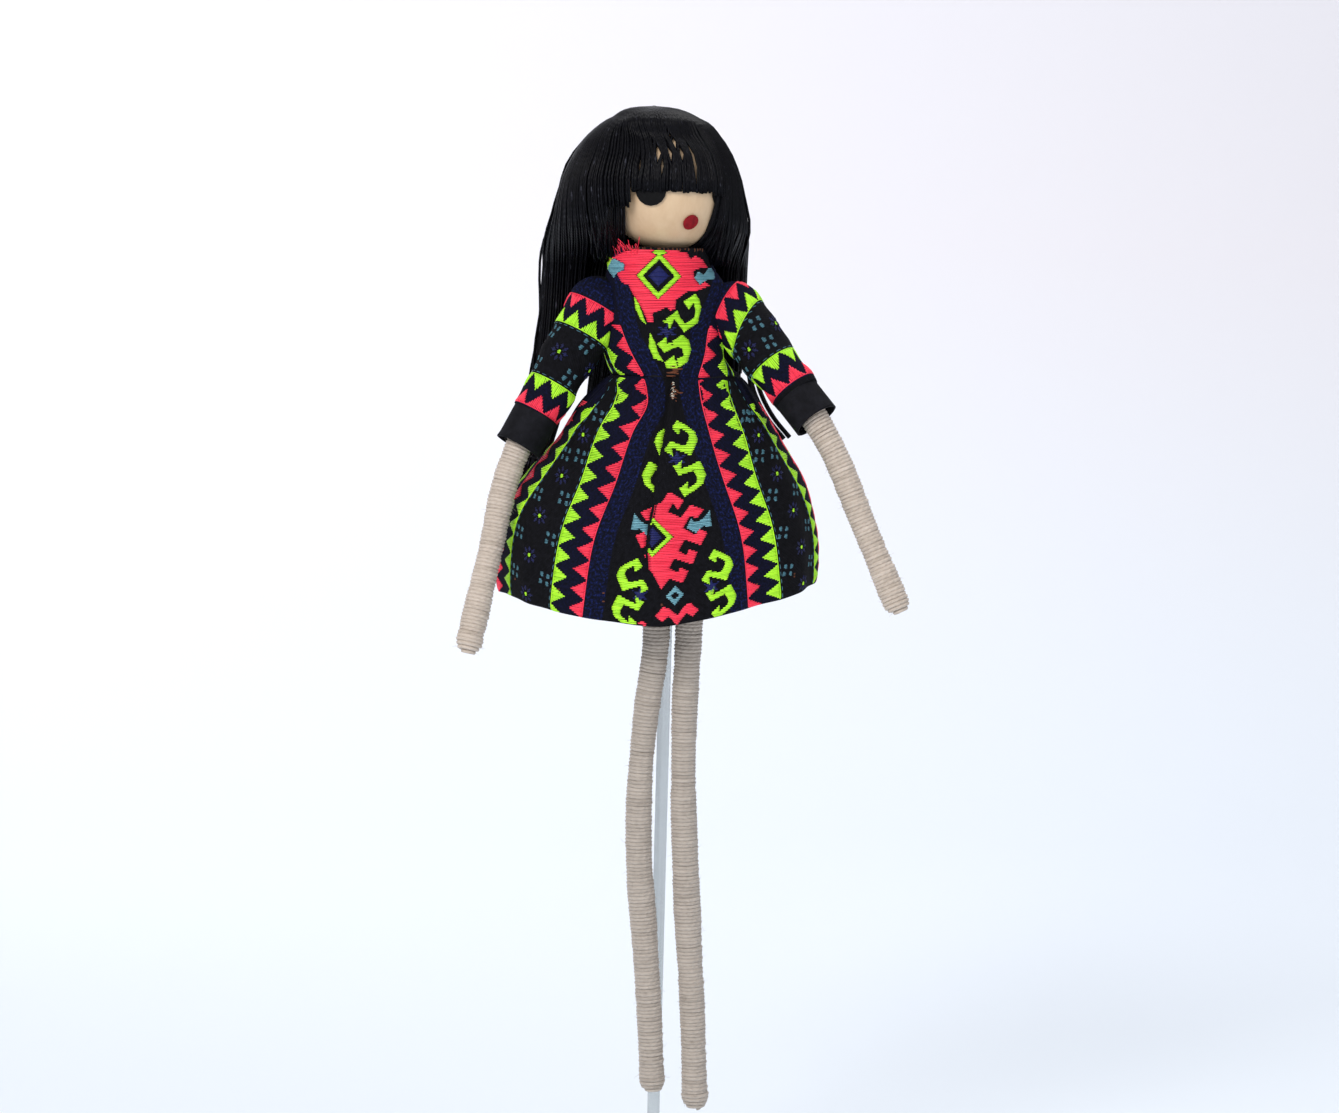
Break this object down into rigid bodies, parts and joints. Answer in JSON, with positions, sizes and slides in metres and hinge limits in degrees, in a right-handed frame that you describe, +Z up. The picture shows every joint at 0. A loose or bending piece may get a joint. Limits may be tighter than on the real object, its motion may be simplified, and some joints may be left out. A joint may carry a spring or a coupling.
{
  "type": "wire armature cloth doll on a rod",
  "caption": "Posable cloth doll held on a clear rod: wooden bead head, cord hair, brocade dress, twine-wrapped wire arms and legs that bend and stay.",
  "frame": {"origin": "centre of the clear rod's lower cut end, where a stand or a hand takes hold of it", "axes": "+Z up along the rod, the doll's front faces -Y, +X is towards the right arm as seen from the front"},
  "size_m": [0.1761, 0.1005, 0.4456],
  "materials": {
    "clear_rod": "gloss",
    "stuffing": "matte",
    "wire": "satin",
    "brocade": "matte",
    "cuff_cloth": "matte",
    "lining": "matte",
    "twine": "matte",
    "wood": "satin",
    "hair_cord": "satin",
    "eye_paint": "satin",
    "mouth_paint": "satin"
  },
  "bodies": {
    "torso": {"stand_rod": "clear_rod", "torso_core": "stuffing", "shoulder_wire": "wire", "hip_wire": "wire", "neck_peg": "wood", "bodice": "brocade", "collar": "brocade", "waist_seam": "lining", "skirt": "brocade", "hair_length_L": "hair_cord", "hair_length_middle": "hair_cord", "hair_length_R": "hair_cord", "hair_stray_strands": "hair_cord"},
    "head": {"head_bead": "wood", "eye_L": "eye_paint", "eye_R": "eye_paint", "mouth": "mouth_paint", "hair_crown": "hair_cord", "hair_fringe": "hair_cord", "hair_side_L": "hair_cord", "hair_side_R": "hair_cord", "hair_back": "hair_cord"},
    "shoulder_L": {"shoulder_knot_L": "wire"},
    "arm_L": {"upper_arm_L_wire": "wire", "upper_arm_L_padding": "stuffing", "upper_arm_L_twine_wrap": "twine", "sleeve_L": "brocade", "cuff_L": "cuff_cloth"},
    "forearm_L": {"forearm_L_wire": "wire", "forearm_L_padding": "stuffing", "forearm_L_twine_wrap": "twine"},
    "shoulder_R": {"shoulder_knot_R": "wire"},
    "arm_R": {"upper_arm_R_wire": "wire", "upper_arm_R_padding": "stuffing", "upper_arm_R_twine_wrap": "twine", "sleeve_R": "brocade", "cuff_R": "cuff_cloth"},
    "forearm_R": {"forearm_R_wire": "wire", "forearm_R_padding": "stuffing", "forearm_R_twine_wrap": "twine"},
    "hip_L": {"hip_knot_L": "wire"},
    "thigh_L": {"thigh_L_wire": "wire", "thigh_L_padding": "stuffing", "thigh_L_twine_wrap": "twine"},
    "shin_L": {"shin_L_wire": "wire", "shin_L_padding": "stuffing", "shin_L_twine_wrap": "twine"},
    "hip_R": {"hip_knot_R": "wire"},
    "thigh_R": {"thigh_R_wire": "wire", "thigh_R_padding": "stuffing", "thigh_R_twine_wrap": "twine"},
    "shin_R": {"shin_R_wire": "wire", "shin_R_padding": "stuffing", "shin_R_twine_wrap": "twine"}
  },
  "joints": [
    {"name": "head_turn", "type": "hinge", "parent": "torso", "child": "head", "pos_m": [-0.0033, -0.006, 0.4116], "axis": [0, 0, 1], "range_deg": [-50, 10]},
    {"name": "shoulder_swing_L", "type": "hinge", "parent": "torso", "child": "shoulder_L", "pos_m": [-0.0305, -0.006, 0.3644], "axis": [-1, 0, 0], "range_deg": [0, 75]},
    {"name": "shoulder_raise_L", "type": "hinge", "parent": "shoulder_L", "child": "arm_L", "pos_m": [-0.0305, -0.006, 0.3644], "axis": [0, 1, 0], "range_deg": [0, 60]},
    {"name": "elbow_bend_L", "type": "hinge", "parent": "arm_L", "child": "forearm_L", "pos_m": [-0.0622, -0.019, 0.3048], "axis": [-0.98, 0, 0.199], "range_deg": [0, 80]},
    {"name": "shoulder_swing_R", "type": "hinge", "parent": "torso", "child": "shoulder_R", "pos_m": [0.0235, -0.006, 0.3636], "axis": [-1, 0, 0], "range_deg": [0, 75]},
    {"name": "shoulder_raise_R", "type": "hinge", "parent": "shoulder_R", "child": "arm_R", "pos_m": [0.0235, -0.006, 0.3636], "axis": [0, -1, 0], "range_deg": [0, 50]},
    {"name": "elbow_bend_R", "type": "hinge", "parent": "arm_R", "child": "forearm_R", "pos_m": [0.0605, -0.026, 0.3176], "axis": [-0.913, 0, -0.408], "range_deg": [0, 80]},
    {"name": "hip_swing_L", "type": "hinge", "parent": "torso", "child": "hip_L", "pos_m": [-0.0055, -0.012, 0.292], "axis": [-1, 0, 0], "range_deg": [0, 25]},
    {"name": "hip_spread_L", "type": "hinge", "parent": "hip_L", "child": "thigh_L", "pos_m": [-0.0055, -0.012, 0.292], "axis": [0, 1, 0], "range_deg": [0, 18]},
    {"name": "knee_bend_L", "type": "hinge", "parent": "thigh_L", "child": "shin_L", "pos_m": [-0.0089, -0.012, 0.172], "axis": [0.7071, 0.7071, 0], "range_deg": [0, 70]},
    {"name": "hip_swing_R", "type": "hinge", "parent": "torso", "child": "hip_R", "pos_m": [0.0105, -0.012, 0.292], "axis": [-1, 0, 0], "range_deg": [0, 25]},
    {"name": "hip_spread_R", "type": "hinge", "parent": "hip_R", "child": "thigh_R", "pos_m": [0.0105, -0.012, 0.292], "axis": [0, -1, 0], "range_deg": [0, 18]},
    {"name": "knee_bend_R", "type": "hinge", "parent": "thigh_R", "child": "shin_R", "pos_m": [0.0087, -0.012, 0.172], "axis": [0.7071, -0.7071, 0], "range_deg": [0, 70]}
  ]
}
